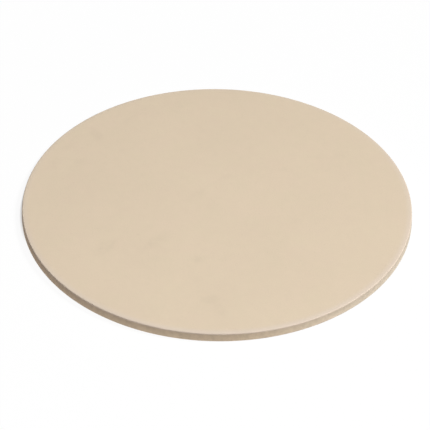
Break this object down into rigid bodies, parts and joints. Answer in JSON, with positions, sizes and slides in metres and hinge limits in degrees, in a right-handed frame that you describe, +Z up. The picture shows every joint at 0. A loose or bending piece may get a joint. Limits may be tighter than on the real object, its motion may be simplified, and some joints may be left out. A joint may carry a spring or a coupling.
{
  "type": "pizza stone",
  "caption": "Round flat baking stone of fired ceramic with softened edges, heated in an oven or grill and used as a hot floor for pizza and bread.",
  "frame": {"origin": "centre of the underside, the flat face the stone rests on", "axes": "+Z up through the baking face, the axis of the disc; X and Y lie in the underside and are interchangeable, because the stone is round"},
  "size_m": [0.3809, 0.381, 0.0095],
  "materials": {
    "fired_stone": "matte"
  },
  "bodies": {
    "root": {"baking_stone": "fired_stone"}
  },
  "joints": []
}
